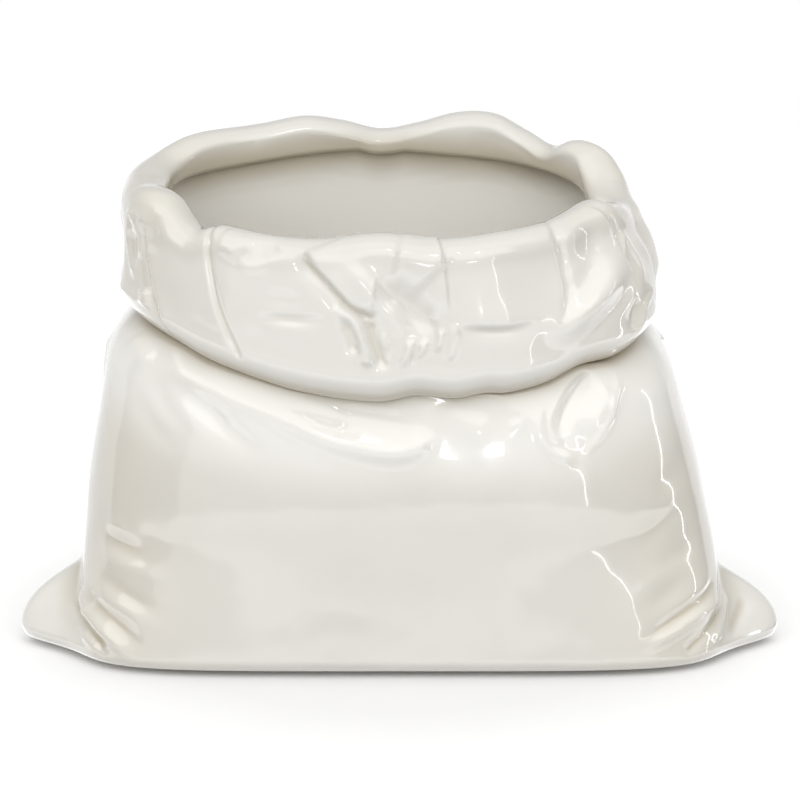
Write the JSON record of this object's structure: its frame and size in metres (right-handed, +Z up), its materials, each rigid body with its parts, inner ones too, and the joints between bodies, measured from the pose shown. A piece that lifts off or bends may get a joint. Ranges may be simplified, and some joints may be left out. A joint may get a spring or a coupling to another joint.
{
  "type": "paper bag vase",
  "caption": "Glazed ceramic vase shaped like a filled paper bag with a turned-down collar, standing on felt pads.",
  "frame": {"origin": "on the surface the vase stands on, under the middle of its box", "axes": "+Z up, the broad front of the bag faces -Y, +X runs to the right along the bag's width"},
  "size_m": [0.3317, 0.1532, 0.2227],
  "materials": {
    "ivory_glaze": "glossy warm white glaze",
    "felt": "short wool felt"
  },
  "bodies": {
    "root": {"bag_body": "ivory_glaze", "rolled_collar": "ivory_glaze", "foot_pad_front_left": "felt", "foot_pad_front_right": "felt", "foot_pad_back_left": "felt", "foot_pad_back_right": "felt"}
  },
  "joints": []
}
